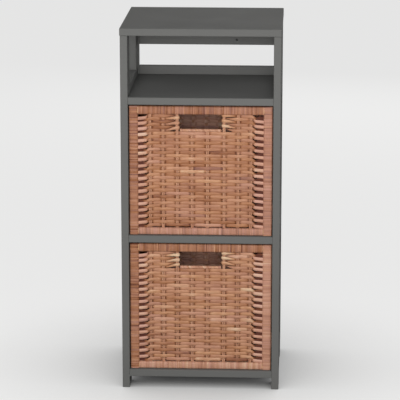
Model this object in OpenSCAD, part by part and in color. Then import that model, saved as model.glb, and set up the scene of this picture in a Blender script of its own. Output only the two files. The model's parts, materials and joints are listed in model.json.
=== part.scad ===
// Bathroom storage tower: a painted board frame with an open shelf on top
// and two woven baskets that pull out to the front.
// The origin is the middle of the footprint, on the floor.
// +X is to the right, +Y to the back and +Z up. All sizes are in millimetres.

/* [Overall] */
// Width of the top board
top_w = 350; // [320:1:420]
// Depth of the top board
top_d = 320; // [290:1:400]
// Thickness of the top board and of the shelves
board_t = 16; // [15:0.5:20]
// Height of the open compartment under the top board
open_h = 135; // [115:1:220]
// Clear height of each basket compartment
bay_h = 292.5; // [240:0.5:360]
// Height of the bottom shelf's underside above the floor
foot_h = 26; // [15:1:60]
// How far the top board passes the posts at each side
side_overhang = 1; // [0:0.5:6]
// How far the top board passes the posts at the front
front_overhang = 2; // [0:0.5:8]
// How far the top board passes the back frame
back_overhang = 10; // [2:0.5:20]
// Chamfer that eases the edges of the boards
edge_ease = 1; // [0.5:0.1:2]

/* [Posts and rails] */
// Thickness of the posts and of the side rails, across the tower
post_w = 16; // [16:0.5:24]
// Width of the posts, front to back
post_d = 54; // [40:1:60]
// Thickness of the back frame's stiles and rails
back_frame_t = 16; // [15:0.5:20]
// Width of the back frame's stiles, across the tower
stile_w = 18.5; // [16:0.5:24]
// How far the side and back rails stand above their shelf
lip_h = 19; // [14:1:30]
// Height of the rail under the top board, at the back
upper_rail_h = 66; // [50:1:90]

/* [Wall fixing] */
// Diameter of the pilot hole for a wall screw, in the front of the upper back rail
wall_hole_d = 5; // [4:0.5:9]
// Wood left behind the pilot hole, which the screw goes through
wall_hole_floor = 4; // [2:0.5:8]
// Distance of the pilot hole from the middle, to the right
wall_hole_x = 69; // [40:1:90]
// Distance of the pilot hole above the lower edge of its rail
wall_hole_rise = 12; // [8:1:20]

/* [Baskets] */
// Gap between a basket and the posts at each side
basket_side_gap = 1.75; // [1:0.25:5]
// Gap between a basket and the board above it
basket_top_gap = 4.2; // [2:0.1:12]
// Running gap between a basket and its shelf
basket_floor_gap = 0.3; // [0.3:0.1:1]
// How far the basket fronts stand behind the posts' front faces
basket_recess = 8; // [2:1:15]
// Gap between a basket and the back rails
basket_back_gap = 4; // [2:1:20]
// Width of the wrapped bars at the sides of a basket's front
bar_side_w = 19.5; // [12:0.5:30]
// Height of the wrapped bars along a basket's top edge
bar_top_w = 18.5; // [12:0.5:30]
// Height of the wrapped bars along a basket's bottom edge
bar_bottom_w = 16; // [12:0.5:24]
// Thickness of the wrapped bars, through the basket's wall
bar_t = 14; // [12:0.5:20]
// Rounding of the wrapped bars
bar_round = 4; // [2:0.5:5]
// Thickness of the rattan wound round the bars' wooden cores
wrap_t = 1.2; // [0.8:0.1:1.8]
// Gap where one bar ends against the next bar
wrap_gap = 0.2; // [0.1:0.1:0.5]
// Thickness of the woven walls
weave_t = 5; // [3:0.5:7]
// Height of one strand of the weave
strand_h = 7.2; // [6:0.1:9]
// How far a strand stands out of a woven wall where it passes over a stake
strand_rise = 1.9; // [1:0.1:2.4]
// Gap between the bottom bar of a basket's front and the lowest strand
strand_lift = 2.4; // [0:0.2:4]
// Distance between the stakes of the side and back walls
stake_spacing = 31; // [26:0.5:40]
// Width of the hand hole
handle_w = 91; // [80:1:140]
// Height of the hand hole
handle_h = 32; // [25:1:60]
// Diameter of the wrapped rod under the hand hole
handle_rod_d = 6.8; // [5:0.2:10]

/* [Fasteners] */
// Diameter of the wooden dowels
dowel_d = 6; // [5:0.5:8]
// Length of the wooden dowels
dowel_l = 30; // [25:1:35]
// How deep a dowel sits in the thinner board of its joint
dowel_bite = 10; // [7:0.5:11]
// Distance of the dowels at a shelf's back edge from the middle
shelf_dowel_x = 100; // [60:1:120]
// Diameter of the cam locks
cam_d = 15; // [12:0.5:18]
// Height of the cam locks
cam_h = 12.5; // [11:0.5:13]
// Distance of a cam lock's axis from the shelf's end
cam_set = 24; // [20:0.5:34]
// Distance of the cam locks from the posts
cam_inset = 30; // [22:1:50]
// Diameter of the cam bolt's thread
bolt_thread_d = 6; // [5:0.5:7]
// Length of the cam bolt's thread, in the side rail
bolt_thread_l = 10; // [8:0.5:13]
// Diameter of the cam bolt's collar
bolt_collar_d = 8; // [7:0.5:9]
// Diameter of the cam bolt's shank
bolt_shank_d = 5; // [4:0.5:6]
// Diameter of the back frame screws
screw_d = 4; // [3:0.5:5]
// Length of the back frame screws
screw_l = 40; // [30:1:50]
// Diameter of the screw heads
screw_head_d = 8; // [7:0.5:10]
// Clearance round a fastener in its hole
fit = 0.1; // [0.05:0.05:0.2]

/* [Hidden] */
$fn = 48;

paint = [0.38, 0.38, 0.37];
rattan = [0.72, 0.50, 0.38];
dark_rattan = [0.58, 0.38, 0.28];
beech = [0.82, 0.68, 0.50];
zinc = [0.70, 0.71, 0.73];

left = -1;
right = 1;
sides = [left, right];

// Planes across the tower, given for the right-hand side
post_out_x = top_w / 2 - side_overhang;
post_in_x = post_out_x - post_w;
post_mid_x = post_out_x - post_w / 2;
stile_in_x = post_out_x - stile_w;

// Planes from front to back
front_y = -top_d / 2 + front_overhang;
back_y = top_d / 2 - back_overhang;
back_frame_y = back_y - back_frame_t;
back_mid_y = back_y - back_frame_t / 2;
rail_front_y = front_y + post_d;
rail_back_y = back_frame_y - post_d;

// Undersides of the boards, from the floor up
bottom_shelf_z = foot_h;
lower_bay_z = bottom_shelf_z + board_t;
divider_z = lower_bay_z + bay_h;
upper_bay_z = divider_z + board_t;
open_shelf_z = upper_bay_z + bay_h;
top_z = open_shelf_z + board_t + open_h;
shelf_zs = [bottom_shelf_z, divider_z, open_shelf_z];
upper_rail_z = top_z - upper_rail_h;
rail_h = board_t + lip_h;

// Fasteners: each list holds the points where a joint's two faces meet
hole_rest = 0.5;
cam_ys = [rail_front_y + cam_inset, rail_back_y - cam_inset];
post_dowel_ys = [post_d / 4, post_d * 3 / 4];
screw_zs = [
    (bottom_shelf_z + rail_h + divider_z) / 2,
    (divider_z + rail_h + open_shelf_z) / 2,
    (open_shelf_z + rail_h + upper_rail_z) / 2];

function rail_end_points(x, y, z, h) = [for (k = [-1, 1]) [x, y, z + h / 2 + k * h / 4]];
function post_rail_points(x, y) = [for (z = shelf_zs) each rail_end_points(x, y, z, rail_h)];
function post_top_points(x, y) = [for (d = post_dowel_ys) [x, y + d, top_z]];
function back_rail_points(side, z, h) = rail_end_points(side * stile_in_x, back_mid_y, z, h);
function stile_points(side) = [
    for (z = shelf_zs) each back_rail_points(side, z, rail_h),
    each back_rail_points(side, upper_rail_z, upper_rail_h)];
function shelf_back_points(z) = [
    for (s = sides) [s * shelf_dowel_x, back_frame_y, z + board_t / 2]];
function upper_rail_top_points() = [for (s = sides) [s * shelf_dowel_x, back_mid_y, top_z]];

// Baskets
basket_x = post_in_x - basket_side_gap;
basket_front_y = front_y + basket_recess;
basket_back_y = back_frame_y - basket_back_gap;
basket_h = bay_h - basket_top_gap - basket_floor_gap;
upper_basket_z = upper_bay_z + basket_floor_gap;
lower_basket_z = lower_bay_z + basket_floor_gap;
basket_mid_y = (basket_front_y + basket_back_y) / 2;
panel_x = basket_x - bar_side_w;
side_panel_l = basket_back_y - basket_front_y - 2 * bar_t;
panel_low = bar_bottom_w;
panel_high = basket_h - bar_top_w;

// Stakes of a basket's front: one beside each end of the hand hole, two below the
// hole between them, and two more out to each side
stake_set = 5.75;
hole_stake_x = handle_w / 2 + stake_set;
stake_step = (panel_x - hole_stake_x) / 3;
stake_xs = [
    for (k = [2, 1, 0]) -hole_stake_x - k * stake_step,
    -hole_stake_x / 3, hole_stake_x / 3,
    for (k = [0, 1, 2]) hole_stake_x + k * stake_step];
all_stakes = [0 : 7];
side_stakes = [0, 1, 2, 5, 6, 7];

// Stakes of a side or back wall of width w
function even_stakes(w) = let (n = round(w / stake_spacing)) [
    for (k = [0 : n - 1]) (k + 0.5) * w / n - w / 2];

// Crest of a strand over a stake: half its length on top and at its foot, the gap
// to the next row's strand, and how deep its root sits in the panel
crest_top = 3;
crest_foot = 9;
crest_gap = 0.6;
crest_root = 0.5;

// ---------- shared shapes ----------

// Rectangle with its four corners cut off by e
module chamfered_rect(w, h, e) {
    polygon([[e, 0], [w - e, 0], [w, e], [w, h - e], [w - e, h], [e, h], [0, h - e], [0, e]]);
}

// Board between two opposite corners, with all its edges eased
module board(lo, hi) {
    s = hi - lo;
    translate(lo) intersection() {
        linear_extrude(s.z) chamfered_rect(s.x, s.y, edge_ease);
        translate([0, s.y, 0]) rotate([90, 0, 0]) linear_extrude(s.y)
            chamfered_rect(s.x, s.z, edge_ease);
        rotate([90, 0, 90]) linear_extrude(s.x) chamfered_rect(s.y, s.z, edge_ease);
    }
}

// Plain block between two opposite corners
module block(lo, hi) {
    translate(lo) cube(hi - lo);
}

// Rectangle with rounded corners
module rounded_rect(w, h, r) {
    translate([r, 0]) square([w - 2 * r, h]);
    translate([0, r]) square([w, h - 2 * r]);
    for (x = [r, w - r]) for (y = [r, h - r]) translate([x, y]) circle(r);
}

// Bars with rounded edges between two opposite corners, running along X, Y or Z
module bar_x(lo, hi, r) {
    s = hi - lo;
    translate(lo) rotate([90, 0, 90]) linear_extrude(s.x) rounded_rect(s.y, s.z, r);
}
module bar_y(lo, hi, r) {
    s = hi - lo;
    translate([lo.x, hi.y, lo.z]) rotate([90, 0, 0]) linear_extrude(s.y)
        rounded_rect(s.x, s.z, r);
}
module bar_z(lo, hi, r) {
    s = hi - lo;
    translate(lo) linear_extrude(s.z) rounded_rect(s.x, s.y, r);
}

// Round rod along X, Y or Z that reaches back and on from a point
module rod_x(p, d, back, on) {
    translate([p.x - back, p.y, p.z]) rotate([0, 90, 0]) cylinder(d = d, h = back + on);
}
module rod_y(p, d, back, on) {
    translate([p.x, p.y - back, p.z]) rotate([-90, 0, 0]) cylinder(d = d, h = back + on);
}
module rod_z(p, d, back, on) {
    translate([p.x, p.y, p.z - back]) cylinder(d = d, h = back + on);
}

// Dowels and their holes; a hole is wider by fit and deeper by hole_rest
module dowel_x(p, back, on, grow = 0) {
    rod_x(p, dowel_d + 2 * fit * grow, back + hole_rest * grow, on + hole_rest * grow);
}
module dowel_y(p, back, on, grow = 0) {
    rod_y(p, dowel_d + 2 * fit * grow, back + hole_rest * grow, on + hole_rest * grow);
}
module dowel_z(p, back, on, grow = 0) {
    rod_z(p, dowel_d + 2 * fit * grow, back + hole_rest * grow, on + hole_rest * grow);
}

// The four kinds of dowel joint, as the dowel itself or as its hole
module post_rail_dowel(p, grow = 0) {
    dowel_y(p, dowel_l / 2, dowel_l / 2, grow);
}
module top_dowel(p, grow = 0) {
    dowel_z(p, dowel_l - dowel_bite, dowel_bite, grow);
}
module stile_dowel(p, side, grow = 0) {
    inside = dowel_l - dowel_bite;
    dowel_x(p, side > 0 ? inside : dowel_bite, side > 0 ? dowel_bite : inside, grow);
}
module shelf_back_dowel(p, grow = 0) {
    dowel_y(p, dowel_l - dowel_bite, dowel_bite, grow);
}

// Cam bolt at a shelf's end; grow = 1 gives its hole
module cam_bolt(side, y, z, grow = 0) {
    p = [side * post_in_x, y, z + board_t / 2];
    g = 2 * fit * grow;
    collar_l = 2;
    neck_l = 4;
    head_l = 3;
    reach = cam_set + head_l / 2;
    mirror([side < 0 ? 1 : 0, 0, 0]) translate([post_in_x, p.y, p.z]) {
        rod_x([0, 0, 0], bolt_thread_d + g, collar_l, bolt_thread_l + hole_rest * grow);
        if (grow > 0) {
            rod_x([0, 0, 0], bolt_collar_d + g, cam_set, 0);
        } else {
            rod_x([0, 0, 0], bolt_collar_d, collar_l, 0);
            rod_x([0, 0, 0], bolt_shank_d, reach - neck_l, 0);
            rod_x([0, 0, 0], bolt_shank_d * 0.7, reach, 0);
            rod_x([head_l - reach, 0, 0], bolt_shank_d, head_l, 0);
        }
    }
}

// Cam lock in a shelf's underside, open towards its bolt
module cam_lock(side, y, z) {
    slot_w = bolt_shank_d + 1;
    cross_w = 1.2;
    cross_l = cam_d * 0.6;
    cross_depth = 1.5;
    translate([side * (post_in_x - cam_set), y, z]) difference() {
        cylinder(d = cam_d, h = cam_h);
        translate([side > 0 ? -slot_w / 2 : -cam_d, -slot_w / 2, board_t / 2 - slot_w / 2])
            cube([cam_d + slot_w / 2, slot_w, slot_w]);
        for (a = [0, 90]) rotate(a) translate([-cross_l / 2, -cross_w / 2, -1])
            cube([cross_l, cross_w, cross_depth + 1]);
    }
}

// Pocket for a cam lock
module cam_pocket(side, y, z) {
    translate([side * (post_in_x - cam_set), y, z - 1])
        cylinder(d = cam_d + 2 * fit, h = cam_h + 1 + hole_rest);
}

// Countersunk screw from the back face into a rear post; grow = 1 gives its hole
module back_screw(side, z, grow = 0) {
    g = fit * grow;
    head_h = (screw_head_d - screw_d) / 2;
    cross_w = 1;
    cross_l = screw_head_d * 0.55;
    cross_depth = 1.6;
    translate([side * post_mid_x, back_y, z]) rotate([90, 0, 0]) difference() {
        union() {
            cylinder(d = screw_d + 2 * g, h = screw_l + hole_rest * grow);
            cylinder(d1 = screw_head_d + 2 * g, d2 = screw_d + 2 * g, h = head_h);
        }
        if (grow == 0) for (a = [0, 90]) rotate(a)
            translate([-cross_l / 2, -cross_w / 2, -1]) cube([cross_l, cross_w, cross_depth + 1]);
    }
}

// ---------- frame ----------

module top_board() {
    color(paint) difference() {
        board([-top_w / 2, -top_d / 2, top_z], [top_w / 2, top_d / 2, top_z + board_t]);
        for (s = sides) for (y = [front_y, rail_back_y])
            for (p = post_top_points(s * post_mid_x, y)) top_dowel(p, 1);
        for (p = upper_rail_top_points()) top_dowel(p, 1);
    }
}

// One shelf, with the pockets for its cam locks and the holes for bolts and dowels
module shelf(z) {
    color(paint) difference() {
        board([-post_in_x, front_y, z], [post_in_x, back_frame_y, z + board_t]);
        for (s = sides) for (y = cam_ys) {
            cam_pocket(s, y, z);
            cam_bolt(s, y, z, 1);
        }
        for (p = shelf_back_points(z)) shelf_back_dowel(p, 1);
    }
}

// Post from the floor to the top board; its front face is at y0 and the side rails meet it at joint_y
module post_body(side, y0, joint_y) {
    x = side * post_mid_x;
    difference() {
        board([x - post_w / 2, y0, 0], [x + post_w / 2, y0 + post_d, top_z]);
        for (p = post_top_points(x, y0)) top_dowel(p, 1);
        for (p = post_rail_points(x, joint_y)) post_rail_dowel(p, 1);
    }
}

module front_post(side) {
    color(paint) post_body(side, front_y, rail_front_y);
}

// Rear post, with the holes of the back frame's screws
module rear_post(side) {
    color(paint) difference() {
        post_body(side, rail_back_y, rail_back_y);
        for (z = screw_zs) back_screw(side, z, 1);
    }
}

// Side rail between a front and a rear post, at the level of a shelf
module side_rail(side, z) {
    x = side * post_mid_x;
    color(paint) difference() {
        board([x - post_w / 2, rail_front_y, z], [x + post_w / 2, rail_back_y, z + rail_h]);
        for (y = [rail_front_y, rail_back_y])
            for (p = rail_end_points(x, y, z, rail_h)) post_rail_dowel(p, 1);
        for (y = cam_ys) cam_bolt(side, y, z, 1);
    }
}

// Upright of the back frame, behind a rear post
module back_stile(side) {
    x = side * (post_out_x - stile_w / 2);
    color(paint) difference() {
        board([x - stile_w / 2, back_frame_y, foot_h], [x + stile_w / 2, back_y, top_z]);
        for (p = stile_points(side)) stile_dowel(p, side, 1);
        for (z = screw_zs) back_screw(side, z, 1);
    }
}

// Plain back rail between the stiles, with the holes of its end dowels
module back_rail_body(z, h) {
    difference() {
        board([-stile_in_x, back_frame_y, z], [stile_in_x, back_y, z + h]);
        for (s = sides) for (p = back_rail_points(s, z, h)) stile_dowel(p, s, 1);
    }
}

// Back rail at the level of a shelf
module back_rail(z) {
    color(paint) difference() {
        back_rail_body(z, rail_h);
        for (p = shelf_back_points(z)) shelf_back_dowel(p, 1);
    }
}

// Rail under the top board, with the pilot hole of a wall screw
module upper_back_rail() {
    color(paint) difference() {
        back_rail_body(upper_rail_z, upper_rail_h);
        for (p = upper_rail_top_points()) top_dowel(p, 1);
        rod_y([wall_hole_x, back_frame_y, upper_rail_z + wall_hole_rise],
            wall_hole_d, hole_rest, back_frame_t - wall_hole_floor);
    }
}

// ---------- fasteners ----------

module side_rail_dowels() {
    color(beech) for (s = sides) for (y = [rail_front_y, rail_back_y])
        for (p = post_rail_points(s * post_mid_x, y)) post_rail_dowel(p);
}

module top_board_dowels() {
    color(beech) {
        for (s = sides) for (y = [front_y, rail_back_y])
            for (p = post_top_points(s * post_mid_x, y)) top_dowel(p);
        for (p = upper_rail_top_points()) top_dowel(p);
    }
}

module back_rail_dowels() {
    color(beech) for (s = sides) for (p = stile_points(s)) stile_dowel(p, s);
}

module shelf_dowels() {
    color(beech) for (z = shelf_zs) for (p = shelf_back_points(z)) shelf_back_dowel(p);
}

module cam_locks() {
    color(zinc) for (z = shelf_zs) for (s = sides) for (y = cam_ys) cam_lock(s, y, z);
}

module cam_bolts() {
    color(zinc) for (z = shelf_zs) for (s = sides) for (y = cam_ys) cam_bolt(s, y, z);
}

module back_frame_screws() {
    color(zinc) for (s = sides) for (z = screw_zs) back_screw(s, z);
}

// ---------- baskets ----------

// The bars of a basket come three times: as the wrapping (inset 0), as the wooden
// core (inset wrap_t) and as the core's hole in the wrapping (inset wrap_t - fit).

// Four bars round a basket's front or back wall; z is the basket's underside
module ring_bars(y0, z, inset, gap) {
    out_x = basket_x - inset;
    in_x = basket_x - bar_side_w + inset;
    front = y0 + inset;
    back = y0 + bar_t - inset;
    low = z + inset;
    top = z + basket_h - inset;
    r = bar_round - inset;
    bar_z([-out_x, front, low], [-in_x, back, top], r);
    bar_z([in_x, front, low], [out_x, back, top], r);
    bar_x([gap - in_x, front, low], [in_x - gap, back, z + bar_bottom_w - inset], r);
    bar_x([gap - in_x, front, z + basket_h - bar_top_w + inset], [in_x - gap, back, top], r);
}

// Top and bottom bar of a basket's side wall, reaching into the front and back bars
module side_bars(side, z, inset, reach) {
    mid_x = side * (basket_x - bar_t / 2);
    half = bar_t / 2 - inset;
    y0 = basket_front_y + bar_t - reach;
    y1 = basket_back_y - bar_t + reach;
    top = z + basket_h;
    r = bar_round - inset;
    bar_y([mid_x - half, y0, z + inset], [mid_x + half, y1, z + bar_bottom_w - inset], r);
    bar_y([mid_x - half, y0, top - bar_top_w + inset], [mid_x + half, y1, top - inset], r);
}

// Wrapping of the front or back frame, hollow for the cores
module wrapped_ring(y0, z) {
    color(rattan) difference() {
        ring_bars(y0, z, 0, wrap_gap);
        ring_bars(y0, z, wrap_t - fit, 0);
        for (s = sides) side_bars(s, z, wrap_t - fit, wrap_t);
    }
}

module basket_front_frame(z) {
    wrapped_ring(basket_front_y, z);
}

module basket_back_frame(z) {
    wrapped_ring(basket_back_y - bar_t, z);
}

// Wrapping of the top and bottom bar of a side wall
module basket_rails(side, z) {
    color(rattan) difference() {
        side_bars(side, z, 0, 0);
        side_bars(side, z, wrap_t - fit, wrap_t);
    }
}

module basket_front_core(z) {
    color(beech) ring_bars(basket_front_y, z, wrap_t, wrap_gap);
}

module basket_back_core(z) {
    color(beech) ring_bars(basket_back_y - bar_t, z, wrap_t, wrap_gap);
}

module basket_rail_cores(z) {
    color(beech) for (s = sides) side_bars(s, z, wrap_t, wrap_t - wrap_gap);
}

// A woven wall faces -Y and has its middle plane at y = 0 and its basket's underside
// at z = 0. It is a flat panel with the crests of its strands on both faces.

// Flat panel of a wall, w wide
module wall_panel(w) {
    block([-w / 2, -weave_t / 2, panel_low], [w / 2, weave_t / 2, panel_high]);
}

// Crest of one strand, h high, on a face that looks to -Y at y = 0
module strand_crest(h) {
    linear_extrude(h) polygon([
        [-crest_foot, crest_root], [-crest_foot, 0], [-crest_top, -strand_rise],
        [crest_top, -strand_rise], [crest_foot, 0], [crest_foot, crest_root]]);
}

// Crests of the rows between two heights, over the stakes with these numbers. The strands
// of one row pass in front of one stake and behind the next, and the next row does the reverse.
module strand_crests(stakes, numbers, first_row, rows, low, high) {
    pitch = (high - low) / rows;
    for (row = [0 : rows - 1]) for (k = numbers) {
        behind = (first_row + row + k) % 2;
        mirror([0, behind, 0])
            translate([stakes[k], -weave_t / 2, low + row * pitch + crest_gap / 2])
                strand_crest(pitch - crest_gap);
    }
}

// Side or back wall, w wide
module plain_wall(w) {
    stakes = even_stakes(w);
    wall_panel(w);
    strand_crests(stakes, [0 : len(stakes) - 1], 0, round((panel_high - panel_low) / strand_h),
        panel_low, panel_high);
}

// Woven front with its hand hole; the rows beside the hole come in pairs
module basket_front_weave(z) {
    low = panel_high - handle_h - handle_rod_d - wrap_gap;
    full_rows = round((low - panel_low) / strand_h);
    side_rows = 2 * round((panel_high - low) / (2 * strand_h));
    color(rattan) translate([0, basket_front_y + bar_t / 2, z]) difference() {
        union() {
            wall_panel(2 * panel_x);
            strand_crests(stake_xs, all_stakes, 0, full_rows, panel_low + strand_lift, low);
            strand_crests(stake_xs, side_stakes, full_rows, side_rows, low, panel_high);
        }
        block([-handle_w / 2, -bar_t, low], [handle_w / 2, bar_t, panel_high + 1]);
    }
}

// Rod that closes the hand hole below
module basket_handle_border(z) {
    axis_z = z + basket_h - bar_top_w - handle_h - handle_rod_d / 2;
    half = handle_w / 2 - wrap_gap;
    color(dark_rattan)
        rod_x([0, basket_front_y + bar_t / 2, axis_z], handle_rod_d, half, half);
}

module basket_back_weave(z) {
    color(dark_rattan) translate([0, basket_back_y - bar_t / 2, z])
        rotate(180) plain_wall(2 * panel_x);
}

module basket_side_weave(side, z) {
    color(rattan) translate([side * (basket_x - bar_t / 2), basket_mid_y, z])
        rotate(side * 90) plain_wall(side_panel_l);
}

module basket_base_weave(z) {
    x = basket_x - bar_t;
    mid_z = z + bar_bottom_w / 2;
    color(dark_rattan) block(
        [-x, basket_front_y + bar_t, mid_z - weave_t / 2],
        [x, basket_back_y - bar_t, mid_z + weave_t / 2]);
}

top_board();
shelf(open_shelf_z);  // open_shelf
shelf(divider_z);  // divider_shelf
shelf(bottom_shelf_z);  // bottom_shelf
front_post(left);  // left_front_post
front_post(right);  // right_front_post
rear_post(left);  // left_rear_post
rear_post(right);  // right_rear_post
back_stile(left);  // left_back_stile
back_stile(right);  // right_back_stile
side_rail(left, open_shelf_z);  // left_shelf_rail
side_rail(right, open_shelf_z);  // right_shelf_rail
side_rail(left, divider_z);  // left_divider_rail
side_rail(right, divider_z);  // right_divider_rail
side_rail(left, bottom_shelf_z);  // left_bottom_rail
side_rail(right, bottom_shelf_z);  // right_bottom_rail
upper_back_rail();
back_rail(open_shelf_z);  // shelf_back_rail
back_rail(divider_z);  // divider_back_rail
back_rail(bottom_shelf_z);  // bottom_back_rail
side_rail_dowels();
top_board_dowels();
back_rail_dowels();
shelf_dowels();
cam_locks();
cam_bolts();
back_frame_screws();
basket_front_frame(upper_basket_z);  // upper_basket_front_frame
basket_back_frame(upper_basket_z);  // upper_basket_back_frame
basket_rails(left, upper_basket_z);  // upper_basket_left_rails
basket_rails(right, upper_basket_z);  // upper_basket_right_rails
basket_front_core(upper_basket_z);  // upper_basket_front_core
basket_back_core(upper_basket_z);  // upper_basket_back_core
basket_rail_cores(upper_basket_z);  // upper_basket_rail_cores
basket_front_weave(upper_basket_z);  // upper_basket_front_weave
basket_handle_border(upper_basket_z);  // upper_basket_handle_border
basket_back_weave(upper_basket_z);  // upper_basket_back_weave
basket_side_weave(left, upper_basket_z);  // upper_basket_left_weave
basket_side_weave(right, upper_basket_z);  // upper_basket_right_weave
basket_base_weave(upper_basket_z);  // upper_basket_base_weave
basket_front_frame(lower_basket_z);  // lower_basket_front_frame
basket_back_frame(lower_basket_z);  // lower_basket_back_frame
basket_rails(left, lower_basket_z);  // lower_basket_left_rails
basket_rails(right, lower_basket_z);  // lower_basket_right_rails
basket_front_core(lower_basket_z);  // lower_basket_front_core
basket_back_core(lower_basket_z);  // lower_basket_back_core
basket_rail_cores(lower_basket_z);  // lower_basket_rail_cores
basket_front_weave(lower_basket_z);  // lower_basket_front_weave
basket_handle_border(lower_basket_z);  // lower_basket_handle_border
basket_back_weave(lower_basket_z);  // lower_basket_back_weave
basket_side_weave(left, lower_basket_z);  // lower_basket_left_weave
basket_side_weave(right, lower_basket_z);  // lower_basket_right_weave
basket_base_weave(lower_basket_z);  // lower_basket_base_weave
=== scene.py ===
# %% [markdown]
# # A bathroom storage tower with two wicker baskets
#
# The tower is a rack of painted boards. Two wicker baskets slide into it like drawers, and a hand
# hole in the front of each one is its pull. The measured frame is loaded first: it holds every
# board, dowel and screw at its real size, with the ways the baskets move. This lesson then adds
# the light, the paint and the wicker around it.

# %% Load the measured frame
import json
import math

import bpy
import numpy as np
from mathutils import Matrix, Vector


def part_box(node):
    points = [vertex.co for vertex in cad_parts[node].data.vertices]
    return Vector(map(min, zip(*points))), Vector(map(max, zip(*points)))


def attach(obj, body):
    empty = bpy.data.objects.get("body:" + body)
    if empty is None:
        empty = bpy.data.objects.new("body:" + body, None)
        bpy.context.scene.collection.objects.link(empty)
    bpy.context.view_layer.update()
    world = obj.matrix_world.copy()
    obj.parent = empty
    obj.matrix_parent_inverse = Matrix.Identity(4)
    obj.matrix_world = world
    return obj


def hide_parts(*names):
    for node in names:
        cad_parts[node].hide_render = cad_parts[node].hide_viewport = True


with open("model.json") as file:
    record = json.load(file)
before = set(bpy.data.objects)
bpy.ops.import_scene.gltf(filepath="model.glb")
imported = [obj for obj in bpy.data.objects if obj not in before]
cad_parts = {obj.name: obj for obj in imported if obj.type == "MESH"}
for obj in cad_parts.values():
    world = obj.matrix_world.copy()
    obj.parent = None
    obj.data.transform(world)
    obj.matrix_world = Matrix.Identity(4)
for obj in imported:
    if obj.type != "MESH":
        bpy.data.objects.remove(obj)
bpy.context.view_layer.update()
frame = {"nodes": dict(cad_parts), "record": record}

MM = 0.001

# %% [markdown]
# ## The camera
#
# The tower was photographed from a little above its top and slightly from the right, so its top
# and the inner faces of its left posts are seen. A long lens from far away keeps the boards nearly
# parallel, as they are in the picture. The focal length is given in pixels of a 400 pixel picture
# and turned into millimetres for the sensor.

# %% Set up the camera
PICTURE_WIDTH = 400
SENSOR_WIDTH = 36.0
FOCAL_PIXELS = 2121
CAMERA_PLACE = (0.224, -4.660, 1.519)
TURN_LEFT = math.radians(2.86)
LOOK_DOWN = math.radians(13.55)

camera_data = bpy.data.cameras.new("camera")
camera_data.sensor_width = SENSOR_WIDTH
camera_data.lens = FOCAL_PIXELS * SENSOR_WIDTH / PICTURE_WIDTH
camera = bpy.data.objects.new("camera", camera_data)
camera.location = CAMERA_PLACE
camera.rotation_euler = (math.radians(90) - LOOK_DOWN, 0, TURN_LEFT)
bpy.context.scene.collection.objects.link(camera)
bpy.context.scene.camera = camera
bpy.context.scene.view_settings.view_transform = "Standard"
print("lens:", round(camera_data.lens, 1), "mm")

# %% [markdown]
# ## Colours and nodes
#
# Paint and rattan colours are written as sRGB hex values, as a colour picker shows them. The
# renderer works with linear light, so one function turns them over. A material is a small graph
# of nodes, and one helper adds a node with its options and what goes into its sockets.

# %% Colour and node helpers
def linear(hex_colour):
    """The linear colour, with alpha, of an sRGB hex value such as "C08A60"."""
    shares = [int(hex_colour[i:i + 2], 16) / 255 for i in (0, 2, 4)]
    light = [s / 12.92 if s <= 0.04045 else ((s + 0.055) / 1.055) ** 2.4 for s in shares]
    return (*light, 1.0)


def add_node(tree, kind, options, inputs):
    """Adds a shader node with its options, and links or sets each of its inputs."""
    node = tree.nodes.new("ShaderNode" + kind)
    for option, value in options.items():
        setattr(node, option, value)
    for socket, value in inputs.items():
        if isinstance(value, bpy.types.NodeSocket):
            tree.links.new(value, node.inputs[socket])
        else:
            node.inputs[socket].default_value = value
    return node


def new_material(name):
    """An empty material with its node tree and its output node."""
    material = bpy.data.materials.new(name)
    material.use_nodes = True
    tree = material.node_tree
    tree.nodes.clear()
    output = tree.nodes.new("ShaderNodeOutputMaterial")
    return material, tree, output


def finish_material(tree, output, shader):
    tree.links.new(shader.outputs[0], output.inputs["Surface"])


print("honey rattan in linear light:", [round(c, 3) for c in linear("B98A68")])

# %% [markdown]
# ## The room's light
#
# Most of the light comes from two soft lamps in front: a large one far away, and a weak one close
# to the tower's upper half. So the boards' fronts are lighter than the top, light reaches the back
# of the open compartment, and the feet stay darker. A third lamp, weak too, lights the tower's back
# and, through the gap at its rear, the open shelf. The camera doesn't see the lamps.

# %% Lamps
LOOK_AT = (0.0, 0.0, 0.45)


def add_lamp(name, place, width, height, power):
    """A soft rectangular lamp at a place, turned to the middle of the tower."""
    data = bpy.data.lights.new(name, "AREA")
    data.shape = "RECTANGLE"
    data.size = width
    data.size_y = height
    data.energy = power
    lamp = bpy.data.objects.new(name, data)
    lamp.location = place
    aim = [target - start for target, start in zip(LOOK_AT, place)]
    reach = math.hypot(aim[0], aim[1])
    lamp.rotation_euler = (math.atan2(reach, -aim[2]), 0, math.atan2(-aim[0], aim[1]))
    lamp.visible_camera = False
    bpy.context.scene.collection.objects.link(lamp)
    print(name, "stands at", place, "with", power, "W")


add_lamp("near_lamp", place=(0.0, -1.15, 0.78), width=1.1, height=0.5, power=7)
add_lamp("far_lamp", place=(0.0, -5.2, 1.62), width=1.8, height=1.0, power=84)
add_lamp("back_lamp", place=(0.5, 3.6, 1.2), width=2.0, height=0.5, power=10)

# %% [markdown]
# ## The room around the tower
#
# The world adds a little light from everywhere. Where the camera or a reflection meets the world
# itself, Light Path shows it a plain pale colour instead, so the backdrop's brightness doesn't
# change the light on the tower.

# %% World
WHITE = "FFFFFF"
BACKDROP = "E6E6E4"
AMBIENT = 0.32


def seen_directly(tree):
    """1 where the camera, a reflection or a view through glass meets the surface, otherwise 0."""
    rays = add_node(tree, "LightPath", {}, {})
    seen = rays.outputs["Is Camera Ray"]
    for kind in ("Is Glossy Ray", "Is Transmission Ray"):
        seen = add_node(tree, "Math", {"operation": "MAXIMUM"},
                        {0: seen, 1: rays.outputs[kind]}).outputs[0]
    return seen


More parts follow.
